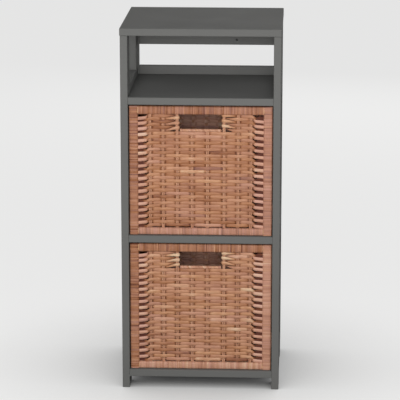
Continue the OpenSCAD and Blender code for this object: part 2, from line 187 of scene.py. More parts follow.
world = bpy.data.worlds.new("world")
world.use_nodes = True
bpy.context.scene.world = world
sky_tree = world.node_tree
sky_tree.nodes.clear()
lighting = add_node(sky_tree, "Background", {}, {"Color": linear(WHITE), "Strength": AMBIENT})
backdrop = add_node(sky_tree, "Background", {}, {"Color": linear(BACKDROP), "Strength": 1.0})
sky = add_node(sky_tree, "MixShader", {},
               {0: seen_directly(sky_tree), 1: lighting.outputs[0], 2: backdrop.outputs[0]})
add_node(sky_tree, "OutputWorld", {}, {"Surface": sky.outputs[0]})
print("light from everywhere:", AMBIENT)

# %% [markdown]
# ## The floor
#
# The floor is one matt plane. To look as pale as the backdrop it glows a little, but only where
# the camera or a reflection meets it, so that it throws no light up at the tower. Ambient
# Occlusion takes the glow away within half a metre of the tower, which paints a soft shadow round
# it on top of the shadow that the lamps cast.

# %% Floor
FLOOR_PAINT = "8A8A88"
FLOOR_SIZE = 26.0
FLOOR_GLOW = 0.70
PAINTED_SHADOW_REACH = 0.5

bpy.ops.object.select_all(action="DESELECT")
bpy.ops.mesh.primitive_plane_add(size=FLOOR_SIZE)
floor = bpy.context.object
floor.name = "floor"
matt, tree, output = new_material("matt_floor")
surface = add_node(tree, "BsdfDiffuse", {}, {"Color": linear(FLOOR_PAINT)})
# The glow fades near the tower: this is a painted shadow.
painted_shadow_ao = add_node(tree, "AmbientOcclusion", {}, {"Distance": PAINTED_SHADOW_REACH}).outputs["AO"]
glow_strength = add_node(tree, "Math", {"operation": "MULTIPLY"}, {0: painted_shadow_ao, 1: FLOOR_GLOW})
glow_strength = add_node(tree, "Math", {"operation": "MULTIPLY"},
                         {0: seen_directly(tree), 1: glow_strength.outputs[0]})
glow = add_node(tree, "Emission", {},
                {"Color": linear(WHITE), "Strength": glow_strength.outputs[0]})
both = add_node(tree, "AddShader", {}, {0: surface.outputs[0], 1: glow.outputs[0]})
finish_material(tree, output, both)
floor.data.materials.append(matt)
print("floor:", FLOOR_SIZE, "m wide, and it stays dark within", PAINTED_SHADOW_REACH, "m")

# %% [markdown]
# ## Painted boards
#
# The boards are medium density fibreboard, sprayed with a dark grey lacquer of low sheen. Close up
# such a finish has a faint orange peel, about 2 mm from dimple to dimple, and its colour drifts by
# a shade over a hand's width. Both come from noise on Object coordinates, which are metres here,
# so a noise scale of 1 / PEEL_SIZE gives dimples of about that size. Noise hardly leaves the
# span from 0.3 to 0.7, so that span is what Map Range stretches.

# %% Lacquered fibreboard
LACQUER_DARK = "626260"
LACQUER_LIGHT = "6B6B69"
DRIFT_SIZE = 120 * MM
PEEL_SIZE = 2 * MM
PEEL_HEIGHT = 0.05 * MM
NOISE_SPAN = {"From Min": 0.3, "From Max": 0.7}


def lacquered_fibreboard():
    """Dark grey lacquer with an orange peel, a slow drift of shade and slightly uneven gloss."""
    material, tree, output = new_material("lacquered_fibreboard")
    place = add_node(tree, "TexCoord", {}, {}).outputs["Object"]
    drift = add_node(tree, "TexNoise", {},
                     {"Vector": place, "Scale": 1 / DRIFT_SIZE, "Detail": 2.0})
    peel = add_node(tree, "TexNoise", {},
                    {"Vector": place, "Scale": 1 / PEEL_SIZE, "Detail": 1.0})
    colour = add_node(tree, "Mix", {"data_type": "RGBA"}, {
        0: drift.outputs["Fac"], 6: linear(LACQUER_DARK), 7: linear(LACQUER_LIGHT)})
    gloss = add_node(tree, "MapRange", {}, {
        **NOISE_SPAN, "Value": drift.outputs["Fac"], "To Min": 0.72, "To Max": 0.82})
    bump = add_node(tree, "Bump", {}, {
        "Height": peel.outputs["Fac"], "Distance": PEEL_HEIGHT, "Strength": 0.35})
    paint = add_node(tree, "BsdfPrincipled", {}, {
        "Base Color": colour.outputs[2], "Roughness": gloss.outputs["Result"],
        "Normal": bump.outputs["Normal"], "IOR": 1.5, "Specular IOR Level": 0.25})
    finish_material(tree, output, paint)
    return material


# %% [markdown]
# ## Zinc, beech and softwood
#
# The fittings inside the boards are zinc plated steel and die cast zinc: grey, metallic and a bit
# cloudy. The dowels are turned beech with fine pores along the grain, and the bars of the baskets
# hold planed softwood strips. They hardly show.

# %% Finishes for the hidden pieces
ZINC = "B9BCC0"
CLOUD_SIZE = 3 * MM
GRAIN_STRETCH = 0.15


def plated_zinc():
    """Blue-grey plated zinc, with the cloudy gloss of a tumbled fitting."""
    material, tree, output = new_material("plated_zinc")
    place = add_node(tree, "TexCoord", {}, {}).outputs["Object"]
    cloud = add_node(tree, "TexNoise", {}, {"Vector": place, "Scale": 1 / CLOUD_SIZE})
    gloss = add_node(tree, "MapRange", {},
                     {"Value": cloud.outputs["Fac"], "To Min": 0.25, "To Max": 0.45})
    metal = add_node(tree, "BsdfPrincipled", {}, {
        "Base Color": linear(ZINC), "Metallic": 1.0, "Roughness": gloss.outputs["Result"]})
    finish_material(tree, output, metal)
    return material


def plain_wood(name, light_hex, dark_hex, grain_spacing):
    """Bare wood: two shades in stretched noise, as wide as the real grain's spacing."""
    material, tree, output = new_material(name)
    place = add_node(tree, "TexCoord", {}, {}).outputs["Object"]
    stretched = add_node(tree, "Mapping", {},
                         {"Vector": place, "Scale": (GRAIN_STRETCH, 1.0, 1.0)})
    grain = add_node(tree, "TexNoise", {}, {
        "Vector": stretched.outputs[0], "Scale": 1 / grain_spacing, "Detail": 4.0})
    colour = add_node(tree, "Mix", {"data_type": "RGBA"},
                      {0: grain.outputs["Fac"], 6: linear(dark_hex), 7: linear(light_hex)})
    wood = add_node(tree, "BsdfPrincipled", {},
                    {"Base Color": colour.outputs[2], "Roughness": 0.6})
    finish_material(tree, output, wood)
    return material


# %% Dress the measured pieces
slot_finish = {
    "painted_board": lacquered_fibreboard(),
    "zinc_fitting": plated_zinc(),
    "beech_dowel": plain_wood("turned_beech", "E0BE94", "C79C6E", grain_spacing=1.2 * MM),
    "core_wood": plain_wood("planed_softwood", "DDB98A", "BF9361", grain_spacing=4 * MM),
}
dressed = 0
for part in frame["record"]["subparts"]:
    finish = slot_finish.get(part["material_slot"])
    if finish:
        for material_slot in frame["nodes"][part["node"]].material_slots:
            material_slot.material = finish
        dressed += 1
print("measured pieces dressed:", dressed)

# %% [markdown]
# ## Rattan
#
# The baskets are split and round rattan, steamed, woven and lightly varnished. Every strand has
# its own shade, from copper to honey, with a few pale and a few pinkish ones, and fine fibres run
# along it. The fibres are finer than the picture shows, so they are drawn 1.2 mm wide. Each wicker
# piece carries three attributes: `tone` says how light a strand is, `blush` how pink, and `fibre`
# gives places that run along the strand, so that one material suits strands of any direction.
# Where `tone` is lowest, deep in the weave, the varnish is dull as well.
# `tone` also carries painted highlights and painted shade: at the edges, the hand hole and the
# dips.

# %% Varnished rattan
FIBRE_WIDTH = 1.2 * MM
FIBRE_LENGTH = 22 * MM
FIBRE_HEIGHT = 0.15 * MM
FIBRE_SHADE = 0.16
PATCH_SIZE = 35 * MM
PATCH_SHADE = 0.06
DARKEST_RATTAN = "5A332A"
LIGHTEST_RATTAN = "DFC3A2"
RATTAN_BETWEEN = ((0.12, "70402A"), (0.3, "945F3E"), (0.5, "AA7553"), (0.72, "C3906C"))
PINK_RATTAN = "CFA093"


def varnished_rattan():
    """Split rattan under a thin satin varnish, shaded strand by strand."""
    material, tree, output = new_material("varnished_split_rattan")
    tone = add_node(tree, "Attribute", {"attribute_name": "tone"}, {}).outputs["Fac"]
    blush = add_node(tree, "Attribute", {"attribute_name": "blush"}, {}).outputs["Fac"]
    fibre = add_node(tree, "Attribute", {"attribute_name": "fibre"}, {}).outputs["Vector"]
    place = add_node(tree, "TexCoord", {}, {}).outputs["Object"]
    along = add_node(tree, "Mapping", {}, {
        "Vector": fibre, "Scale": (1 / FIBRE_LENGTH, 1 / FIBRE_LENGTH, 1 / FIBRE_WIDTH)})
    streaks = add_node(tree, "TexNoise", {},
                       {"Vector": along.outputs[0], "Scale": 1.0, "Detail": 3.0})
    patches = add_node(tree, "TexNoise", {},
                       {"Vector": place, "Scale": 1 / PATCH_SIZE, "Detail": 1.0})
    shade = tone
    for noise, most in ((streaks, FIBRE_SHADE), (patches, PATCH_SHADE)):
        drift = add_node(tree, "MapRange", {}, {
            **NOISE_SPAN, "Value": noise.outputs["Fac"], "To Min": -most, "To Max": most})
        shade = add_node(tree, "Math", {"operation": "ADD"},
                         {0: shade, 1: drift.outputs["Result"]}).outputs[0]
    ramp = add_node(tree, "ValToRGB", {}, {"Fac": shade})
    stops = ramp.color_ramp
    stops.elements[0].color = linear(DARKEST_RATTAN)
    stops.elements[1].color = linear(LIGHTEST_RATTAN)
    for position, shade_hex in RATTAN_BETWEEN:
        stops.elements.new(position).color = linear(shade_hex)
    colour = add_node(tree, "Mix", {"data_type": "RGBA"},
                      {0: blush, 6: ramp.outputs["Color"], 7: linear(PINK_RATTAN)})
    bump = add_node(tree, "Bump", {}, {
        "Height": streaks.outputs["Fac"], "Distance": FIBRE_HEIGHT, "Strength": 0.5})
    gloss = add_node(tree, "MapRange", {}, {
        "Value": tone, "From Min": 0.0, "From Max": 0.3, "To Min": 0.95, "To Max": 0.5})
    skin = add_node(tree, "BsdfPrincipled", {}, {
        "Base Color": colour.outputs[2], "Roughness": gloss.outputs["Result"], "IOR": 1.5,
        "Normal": bump.outputs["Normal"], "Specular IOR Level": 0.25})
    finish_material(tree, output, skin)
    return material


rattan = varnished_rattan()
print("rattan is ready:", len(rattan.node_tree.nodes), "nodes")

# %% [markdown]
# ## Reading and moving points
#
# A strand's exact wave is a formula, so operators make and repeat it straight, and one pass over
# its points then bends it. These helpers read a mesh's points into an array, write them back and
# store the three attributes of the rattan. `smooth` is the soft step that every bend is made of.

# %% Point helpers
TOUCHING = 0.01 * MM
SAME_POINT = 0.001 * MM
ANY_PHASE = (0, 6)
FIBRE_SHIFT = (0, 3)


def smooth(share):
    """A soft step from 0 to 1 while share goes from 0 to 1."""
    share = np.clip(share, 0.0, 1.0)
    return share * share * (3 - 2 * share)


def read_points(piece):
    points = np.empty(len(piece.data.vertices) * 3)
    piece.data.vertices.foreach_get("co", points)
    return points.reshape(-1, 3)


def write_points(piece, points):
    piece.data.vertices.foreach_set("co", points.ravel())
    piece.data.update()


def store_looks(piece, tone, blush, fibre):
    """Stores each point's lightness, pinkness and place along its strand."""
    count = len(piece.data.vertices)
    for name, kind, field, values in (("tone", "FLOAT", "value", np.broadcast_to(tone, count)),
                                      ("blush", "FLOAT", "value", np.broadcast_to(blush, count)),
                                      ("fibre", "FLOAT_VECTOR", "vector", fibre)):
        layer = piece.data.attributes.get(name) or piece.data.attributes.new(name, kind, "POINT")
        layer.data.foreach_set(field, np.ascontiguousarray(values, dtype=np.float32).ravel())


def select_only(*pieces):
    bpy.ops.object.select_all(action="DESELECT")
    for piece in pieces:
        piece.select_set(True)
    bpy.context.view_layer.objects.active = pieces[0]


def select_nothing(kind):
    """Sets edit mode to pick vertices, edges or faces, and leaves it with none selected."""
    bpy.ops.object.mode_set(mode="EDIT")
    bpy.ops.mesh.select_mode(type=kind)
    bpy.ops.mesh.select_all(action="DESELECT")
    bpy.ops.object.mode_set(mode="OBJECT")


def join_pieces(name, pieces):
    """Joins several pieces into the first one."""
    select_only(*pieces)
    bpy.ops.object.join()
    pieces[0].name = name
    pieces[0].data.name = name
    return pieces[0]


def settle(piece, turn, place):
    """Turns a piece, moves it to its place, and leaves its object at the origin."""
    piece.rotation_euler = turn
    piece.location = place
    select_only(piece)
    bpy.ops.object.transform_apply(location=True, rotation=True, scale=True)


def repeat(piece, count, step):
    """Repeats a piece in a row with an Array modifier, and applies it."""
    array = piece.modifiers.new("row", "ARRAY")
    array.count = count
    array.use_relative_offset = False
    array.use_constant_offset = True
    array.constant_offset_displace = step
    array.use_merge_vertices = True
    array.merge_threshold = SAME_POINT
    select_only(piece)
    bpy.ops.object.modifier_apply(modifier=array.name)


print("a quarter of the way, the soft step is at", float(smooth(0.25)))

# %% [markdown]
# ## Bars wrapped in split rattan
#
# Each wall of a basket is held by wooden bars with split rattan wound tightly round them, about
# 2.4 mm to a turn. Winding one long strip as a helix would be true but heavy, and the turns lie so
# close that their slant can't be seen. So a bar is a stack of rings: a square's corners are
# bevelled to the bar's section, the outline is extruded up through one turn, from its groove to
# its crown and down into the next groove, and an array stacks the turns.

# %% One turn of the wrap
WRAP_PITCH = 2.4 * MM
GROOVE = 0.6 * MM
GROOVE_SHARE = 0.2
CORNER = 4.0 * MM
CORNER_STEPS = 3
FACES_UP = 0.99


def select_by_height(piece, heights):
    """In edit mode, selects the flat faces that lie at one of these heights."""
    select_nothing("FACE")
    for face in piece.data.polygons:
        flat = abs(face.normal.z) > FACES_UP
        face.select = flat and any(abs(face.center.z - height) < TOUCHING for height in heights)
    bpy.ops.object.mode_set(mode="EDIT")


def wrap_turn(name, width, depth, corner, pitch):
    """One turn of the wrap: a ring that starts and ends in a groove, with a crown between."""
    inner = (width - 2 * GROOVE, depth - 2 * GROOVE)
    bpy.ops.object.select_all(action="DESELECT")
    bpy.ops.mesh.primitive_plane_add(size=1)
    turn = bpy.context.object
    turn.name = name
    turn.scale = (inner[0], inner[1], 1)
    bpy.ops.object.transform_apply(location=False, rotation=False, scale=True)
    bpy.ops.object.mode_set(mode="EDIT")
    bpy.ops.mesh.select_all(action="SELECT")
    bpy.ops.mesh.bevel(offset=corner - GROOVE, segments=CORNER_STEPS, affect="VERTICES")
    swell = (width / inner[0], depth / inner[1], 1)
    shrink = (inner[0] / width, inner[1] / depth, 1)
    crown_share = 1 - 2 * GROOVE_SHARE
    for rise, scale in ((GROOVE_SHARE, swell), (crown_share, (1, 1, 1)), (GROOVE_SHARE, shrink)):
        bpy.ops.mesh.extrude_region_move(TRANSFORM_OT_translate={"value": (0, 0, rise * pitch)})
        bpy.ops.transform.resize(value=scale, center_override=(0, 0, 0))
    select_by_height(turn, (0, pitch))
    bpy.ops.mesh.delete(type="ONLY_FACE")
    bpy.ops.object.mode_set(mode="OBJECT")
    return turn


def close_ends(piece, length):
    """Fills the open outline at each end of a bar with one flat face."""
    for height in (0, length):
        select_nothing("VERT")
        for vertex in piece.data.vertices:
            vertex.select = abs(vertex.co.z - height) < TOUCHING
        bpy.ops.object.mode_set(mode="EDIT")
        bpy.ops.mesh.edge_face_add()
        bpy.ops.object.mode_set(mode="OBJECT")


def face_outwards(piece):
    """Turns every face of a closed piece outwards."""
    select_only(piece)
    bpy.ops.object.mode_set(mode="EDIT")
    bpy.ops.mesh.select_all(action="SELECT")
    bpy.ops.mesh.normals_make_consistent(inside=False)
    bpy.ops.object.mode_set(mode="OBJECT")


print("a turn of the wrap:", round(WRAP_PITCH / MM, 1), "mm")

# %% [markdown]
# ## Uneven turns
#
# A wrap is wound by hand, so its turns lean a little this way and that, and a few come from
# darker or paler strips. A last pass over the rings adds this, but the turns at both ends stay
# level, where the bar meets its neighbour.

# %% Wrapped bar
LEVEL_TURNS = 3
TURN_WAVE = 0.22 * MM
WAVE_LENGTHS = np.array([[17], [41], [73]]) * MM
WAVE_SHARES = (0.15, 1.0)
TURN_SWELL = 0.004
TURN_SPREAD = 0.1
ODD_TURNS = 0.07
DARK_TURN = 0.2
PALE_TURN = 0.12
END_TURN = 0.12
BLUSH_SPREAD = 0.1
BAR_CREASE = math.radians(50)


def lean_and_shade(piece, length, turns, lean, looks, seed):
    """Lets the turns of a wrap lean and swell, and gives each its shade around the bar's looks."""
    random = np.random.default_rng(seed)
    points = read_points(piece)
    pitch = length / turns
    turn = np.clip((points[:, 2] / pitch).astype(int), 0, turns - 1)
    inside = smooth(np.minimum(points[:, 2], length - points[:, 2]) / (LEVEL_TURNS * pitch))
    waves = random.uniform(*WAVE_SHARES, 3) @ np.sin(
        points[:, 2] / WAVE_LENGTHS + random.uniform(*ANY_PHASE, (3, 1)))
    across = points[:, 0] / points[:, 0].max()
    swell = 1 + random.normal(0, TURN_SWELL, turns)[turn]
    shade, pinkness = looks
    tone = random.normal(shade, TURN_SPREAD, turns)
    tone[random.random(turns) < ODD_TURNS] -= DARK_TURN
    tone[random.random(turns) < ODD_TURNS] += PALE_TURN
    tone[[0, -1]] -= END_TURN
    fibre = points.copy()
    fibre[:, 0] += random.uniform(*FIBRE_SHIFT, turns)[turn]
    points[:, 2] += inside * across * (TURN_WAVE * waves + lean)
    points[:, 2] = np.clip(points[:, 2], 0, length)
    points[:, :2] *= swell[:, None]
    write_points(piece, points)
    blush = np.clip(random.normal(pinkness, BLUSH_SPREAD, turns), 0, 1)[turn]
    store_looks(piece, np.clip(tone, 0, 1)[turn], blush, fibre)


def wrapped_bar(name, length, width, depth, looks, seed,
                corner=CORNER, pitch=WRAP_PITCH, lean=0.0):
    """A bar along Z from the origin, with split rattan wound round it."""
    turns = round(length / pitch)
    bar = wrap_turn(name, width, depth, corner, length / turns)
    repeat(bar, turns, (0, 0, length / turns))
    close_ends(bar, length)
    face_outwards(bar)
    lean_and_shade(bar, length, turns, lean, looks, seed)
    select_only(bar)
    bpy.ops.object.shade_smooth_by_angle(angle=BAR_CREASE)
    bar.data.materials.append(rattan)
    return bar


print("share of turns that are darker:", ODD_TURNS)

# %% [markdown]
# ## The bars' places
#
# The measured frame gives each wall's box and the box of the weave inside it, so the width and
# height of the bars follow from the two. The side bars run the full height, and the top and bottom
# bars fit between them. A bar is built standing up and turned to lie along X or Y. Each bar has its
# own looks: how light and how pink its wrap is. Partly that is the tone of the bundle it was wound
# from, partly painted light: the bottom bars are painted lighter than the top ones, and the lower
# basket's right and bottom bars lighter still, for the way the lamps light them.

# %% Bars of one basket
LIE_ALONG_X = (0, math.radians(90), 0)
LIE_ALONG_Y = (math.radians(-90), 0, 0)
LEFT, RIGHT, BOTTOM, TOP = range(4)
# How light and how pink each bar is, with painted light: bottom bars lighter, top bars darker.
BAR_LOOKS_AND_PAINTED_LIGHT = {
    "upper": ((0.40, 0.15), (0.42, 0.38), (0.49, 0.42), (0.35, 0.18)),
    "lower": ((0.42, 0.12), (0.60, 0.40), (0.70, 0.38), (0.43, 0.12)),
}


def wall_bars(name, wall_node, weave_node, looks, seed):
    """The four wrapped bars of a front or back wall."""
    low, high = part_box(wall_node)
    weave_low, weave_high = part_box(weave_node)
    middle = (low.y + high.y) / 2
    thick = high.y - low.y
    side = weave_low.x - low.x
    bars = []
    for number, x in ((LEFT, low.x + side / 2), (RIGHT, high.x - side / 2)):
        bar = wrapped_bar(name, high.z - low.z, side, thick, looks[number], seed + number)
        settle(bar, (0, 0, 0), (x, middle, low.z))
        bars.append(bar)
    for number, bottom, top in ((BOTTOM, low.z, weave_low.z), (TOP, weave_high.z, high.z)):
        bar = wrapped_bar(name, weave_high.x - weave_low.x, top - bottom, thick, looks[number],
                          seed + number)
        settle(bar, LIE_ALONG_X, (weave_low.x, middle, (bottom + top) / 2))
        bars.append(bar)
    return join_pieces(name, bars)


def side_bars(name, rails_node, weave_node, looks, seed):
    """The two wrapped bars above and below a side wall."""
    low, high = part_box(rails_node)
    weave_low, weave_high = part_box(weave_node)
    middle = (low.x + high.x) / 2
    thick = high.x - low.x
    bars = []
    for number, bottom, top in ((BOTTOM, low.z, weave_low.z), (TOP, weave_high.z, high.z)):
        bar = wrapped_bar(name, high.y - low.y, thick, top - bottom, looks[number], seed + number)
        settle(bar, LIE_ALONG_Y, (middle, low.y, (bottom + top) / 2))
        bars.append(bar)
    return join_pieces(name, bars)


print("bars of a basket's front or back wall:", len(BAR_LOOKS_AND_PAINTED_LIGHT["upper"]))

# %% [markdown]
# ## The weave
#
# A woven wall has upright stakes, each a pair of round rods, and flat oval strands that pass over
# one stake and behind the next. The rows take turns: where one row passes over, its neighbours
# pass behind. Between two stakes all rows lie nearly flush, and a strand dips sharply where it
# goes behind, which gives the small dark marks beside each stake, deepened by painted shade. At
# the edges every second row comes to the front at the bar, as a broad strand with a painted
# highlight, and the rows between them slip down behind it, painted darker as shade, and leave a
# dark gap.
#
# A real strand could be simulated, but its path is regular, so a formula says it better: the depth
# of a strand at any place across the wall. Operators make one straight strand, cut it into short
# lengths and repeat it for all rows, and the formula bends them.
#
# WAVE is how far a strand leaves the wall's middle at a stake, and BAY_SHARE the part of it that
# all strands keep between stakes. At a stake the depth holds for the FLAT distance and changes
# over the RUN. Strands and stakes reach into the bars by TUCK.

# %% Sizes of the weave
STRAND_HEIGHT = 7.8 * MM
STRAND_THICKNESS = 2.6 * MM
STRAND_SIDES = 8
STRAND_CREASE = math.radians(60)
ROD_RADIUS = 1.6 * MM
TUCK = 1.2 * MM
WAVE = 3.1 * MM
BAY_SHARE = 0.35
OVER_FLAT = 2.5 * MM
OVER_RUN = 8.0 * MM
DIP_FLAT = 3.4 * MM
DIP_RUN = 4.4 * MM


def passes_over(stake_number, row):
    """Whether a row's strand runs in front of a stake."""
    return (stake_number + row) % 2 == 0


def depth_across(x, row, stakes):
    """How far behind the wall's middle (+) or before it (-) each strand lies at x."""
    depth = np.full(x.shape, -BAY_SHARE * WAVE)
    for number, stake in enumerate(stakes):
        away = np.abs(x - stake)
        forward = (1 - smooth((away - OVER_FLAT) / OVER_RUN)) * (1 - BAY_SHARE) * WAVE
        backward = (1 - smooth((away - DIP_FLAT) / DIP_RUN)) * (1 + BAY_SHARE) * WAVE
        depth += np.where(passes_over(number, row), -forward, backward)
    return depth


over_stake = -depth_across(np.zeros(1), 0, [0.0])[0]
print("over a stake, a strand lies", round(over_stake / MM, 1), "mm before the wall's middle")

# %% [markdown]
# ## Strands
#
# `cut_places` says where a strand is cut across: closely at each stake, where it bends, and
# loosely between. `straight_strand` makes the strand from an eight-sided cylinder, whose long
# edges are subdivided once for each cut.

# %% A straight strand, cut across
NEAR_STAKE = np.array([-8.5, -5.6, -3.6, -1.4, 1.4, 3.6, 5.6, 8.5]) * MM
LOOSE_STEP = 5.5 * MM
LEAST_STEP = 0.45 * LOOSE_STEP


def cut_places(start, end, stakes, extra=()):
    """Sorted places from start to end: close together at the stakes, loose between them."""
    places = [start, end, *extra]
    for stake in stakes:
        places += [stake + offset for offset in NEAR_STAKE if start < stake + offset < end]
    loose = np.arange(start + LOOSE_STEP, end - LOOSE_STEP / 2, LOOSE_STEP)
    tight = np.array(sorted(places))
    for place in loose:
        if np.min(np.abs(tight - place)) > LEAST_STEP:
            places.append(place)
    return np.array(sorted(places))


def straight_strand(name, cuts, height, thickness):
    """A flattened cylinder from x = 0 to 1, with so many rings across it."""
    bpy.ops.object.select_all(action="DESELECT")
    bpy.ops.mesh.primitive_cylinder_add(vertices=STRAND_SIDES, radius=0.5, depth=1,
                                        rotation=(0, math.radians(90), 0), location=(0.5, 0, 0))
    strand = bpy.context.object
    strand.name = name
    bpy.ops.object.transform_apply(location=True, rotation=True, scale=True)
    strand.scale = (1, thickness, height)
    bpy.ops.object.transform_apply(location=False, rotation=False, scale=True)
    select_nothing("EDGE")
    points = strand.data.vertices
    for edge in strand.data.edges:
        start, end = edge.vertices
        edge.select = abs(points[start].co.x - points[end].co.x) > 0.5
    bpy.ops.object.mode_set(mode="EDIT")
    bpy.ops.mesh.subdivide(number_cuts=cuts)
    bpy.ops.object.mode_set(mode="OBJECT")
    bpy.ops.object.shade_smooth_by_angle(angle=STRAND_CREASE)
    return strand


print("cuts close to each stake:", len(NEAR_STAKE))

# %% [markdown]
# ## Rows and their routes
#
# A row that ends at the hand hole curls round the last stake and comes back behind it, as a weaver
# turns back at an opening, so such rows work in pairs that draw together. `route` follows a strand
# along this way; one that ends behind its stake curls only a third as far. The short rows on
# either side of the hole run towards it, so a group of rows has a direction.

# %% Routes of the rows
FULL_ROWS = 30
SPLIT_ROWS = 6
ALL_ROWS = FULL_ROWS + SPLIT_ROWS
CURL_RADIUS = ROD_RADIUS + STRAND_THICKNESS / 2
CURL_CUTS = (1, 0.8, 0.6, 0.4, 0.2)
UNDER_CURL = 3


class Rows:
    """What one group of rows needs to know: where they start, run and curl back."""

    def __init__(self, heights, first_row, start, direction, stakes, curl_at=None,
                 open_edges=True, strand_height=STRAND_HEIGHT):
        self.heights = heights
        self.first_row = first_row
        self.start = start
        self.direction = direction
        self.stakes = stakes
        self.curl_at = curl_at
        self.open_edges = open_edges
        self.strand_height = strand_height

    def length(self):
        """How long each strand is, measured along it."""
        if self.curl_at is None:
            return 2 * abs(self.start)
        return abs(self.curl_at - self.start) + ROD_RADIUS + math.pi * CURL_RADIUS

    def cuts(self):
        """Where along its length each strand is cut across."""
        length = self.length()
        runs = [self.direction * (stake - self.start) for stake in self.stakes]
        curl = []
        if self.curl_at is not None:
            curl = [length - CURL_RADIUS * math.pi * share for share in CURL_CUTS]
        return cut_places(0, length, [run for run in runs if 0 < run < length], curl)


def route(rows, run, row):
    """Where a strand's middle is after a run along it: across the wall, and in depth."""
    x = rows.start + rows.direction * run
    if rows.curl_at is None:
        return x, depth_across(x, row, rows.stakes)
    centre = rows.curl_at + rows.direction * ROD_RADIUS
    beyond = np.maximum(rows.direction * (x - centre), 0)
    angle = np.minimum(beyond / CURL_RADIUS, math.pi)
    over = passes_over(rows.stakes.index(rows.curl_at), row)
    straight = rows.direction * np.minimum(rows.direction * x, rows.direction * centre)
    depth = depth_across(straight, row, rows.stakes)
    depth = np.where(beyond > 0, np.where(over, -CURL_RADIUS * np.cos(angle), CURL_RADIUS), depth)
    reach = np.where(over, CURL_RADIUS * np.sin(angle), ROD_RADIUS * np.sin(angle / UNDER_CURL))
    return straight + rows.direction * reach, depth


print("rows in a front wall:", ALL_ROWS, "of which", SPLIT_ROWS, "end at the hand hole")

# %% [markdown]
# ## The edges of the weave
#
# `at_edges` describes what happens beyond the first and the last stake of a front. A row that
# comes to the front there is painted lighter and pinker, as a painted highlight where it catches
# the light. Its neighbour slants down, slips behind it and lies there broad in its shade, which is
# painted as a darker, less pink tone and leaves a dark wedge. All rows slope down a little to the
# bar, and the top ones are squeezed down further in the corners, where the weaver had no room left.
#
# Each pair of sizes says how far past the stake a change starts, and over what distance it comes.
# Heights are shares of a strand's own height.

# %% Shape the edges
COMES_FORWARD = (4 * MM, 6 * MM)
GOES_BACK = (6 * MM, 6 * MM)
GETS_PAINTED_SHADE = (7 * MM, 5 * MM)
GETS_BROAD = (11 * MM, 6 * MM)
SLANT_START, SLANT_RUN, SLANT_CURVE = 1 * MM, 11 * MM, 1.25
SLANT_DROP = 0.85
EDGE_PINCH = 3.6 * MM
EDGE_SAG = 0.5 * MM
EDGE_SLOPE = 2.6 * MM
BACK_SHARE, FORWARD_SHARE = 0.9, 0.55
THINNER, BROADER = 0.2, 1.2
SHOWN_HEIGHT, SHOWN_WIDENS = 0.9, 0.06
PAINTED_SHADE_DROP, PAINTED_HIGHLIGHT, HIGHLIGHT_BLUSH = 0.6, 0.2, 0.4


def change(distance, start, run):
    """A soft step that starts at a distance and comes over a run."""
    return smooth((distance - start) / run)


def at_edges(rows, x, row, pitch):
    """Moves up and back, height, painted light and pinkness of the strands beyond the last stakes.
    """
    rise, back, painted_light, pink = np.zeros((4, len(x)))
    height = np.ones(x.shape)
    squeeze = EDGE_PINCH * 0.5 ** ((ALL_ROWS - 1 - row) / 2)
    for number, side in ((0, -1), (len(rows.stakes) - 1, 1)):
        span = abs(rows.start) - abs(rows.stakes[number])
        beyond = side * (x - rows.stakes[number])
        over = passes_over(number, row)
        hidden_or_shown = [over & (beyond > 0), ~over & (beyond > 0)]
        near = change(beyond, *COMES_FORWARD)
        wide = np.clip(beyond / span, 0, 1)
        slant = np.clip((beyond - SLANT_START) / SLANT_RUN, 0, 1) ** SLANT_CURVE
        painted_shade = change(beyond, *GETS_PAINTED_SHADE)
        broad = change(beyond, *GETS_BROAD)
        rise = np.select(hidden_or_shown, [
            -SLANT_DROP * pitch * slant - EDGE_SLOPE * wide,
            -(EDGE_SAG + squeeze) * near - EDGE_SLOPE * wide], rise)
        back = np.select(hidden_or_shown, [
            BACK_SHARE * WAVE * change(beyond, *GOES_BACK), -FORWARD_SHARE * WAVE * near], back)
        height = np.select(hidden_or_shown, [
            1 - THINNER * slant + BROADER * broad, SHOWN_HEIGHT + SHOWN_WIDENS * wide], height)
        # Hidden rows get painted shade (darker, less pink); shown rows a painted highlight
        # (lighter, pinker).
        painted_light = np.select(hidden_or_shown, [-PAINTED_SHADE_DROP * painted_shade, PAINTED_HIGHLIGHT * near], painted_light)
        pink = np.select(hidden_or_shown, [-painted_shade, HIGHLIGHT_BLUSH * near], pink)
    return rise, back, height, painted_light, pink


print("at the bar, strands lie", round(EDGE_SLOPE / MM, 1), "mm lower")

# %% [markdown]
# ## Beside the hand hole
#
# There the rows draw together in pairs. Each pair is one strand that comes to the hole in front,
# as a pointed shape with a painted highlight, curls round the stake and goes back behind, thin and
# painted darker as shade. `at_hole` adds this over the last 25 mm before the hole. A change with a
# pace of 1 takes all of the 25 mm, and a higher pace ends it sooner.

# %% Shape the ends at the hand hole
LENS_LENGTH = 25 * MM
DRAWN_UP = 0.13
OVER_LIFT = 0.9 * MM
POINT_THINNER, POINT_BROADER = 0.5, 0.4
UNDER_THINNER = 0.72
LENS_PAINTED_HIGHLIGHT, UNDER_PAINTED_SHADE = 0.24, -0.14
POINT_PACE, UNDER_PACE, PAINTED_LIGHT_PACE = 4, 1.3, 1.5


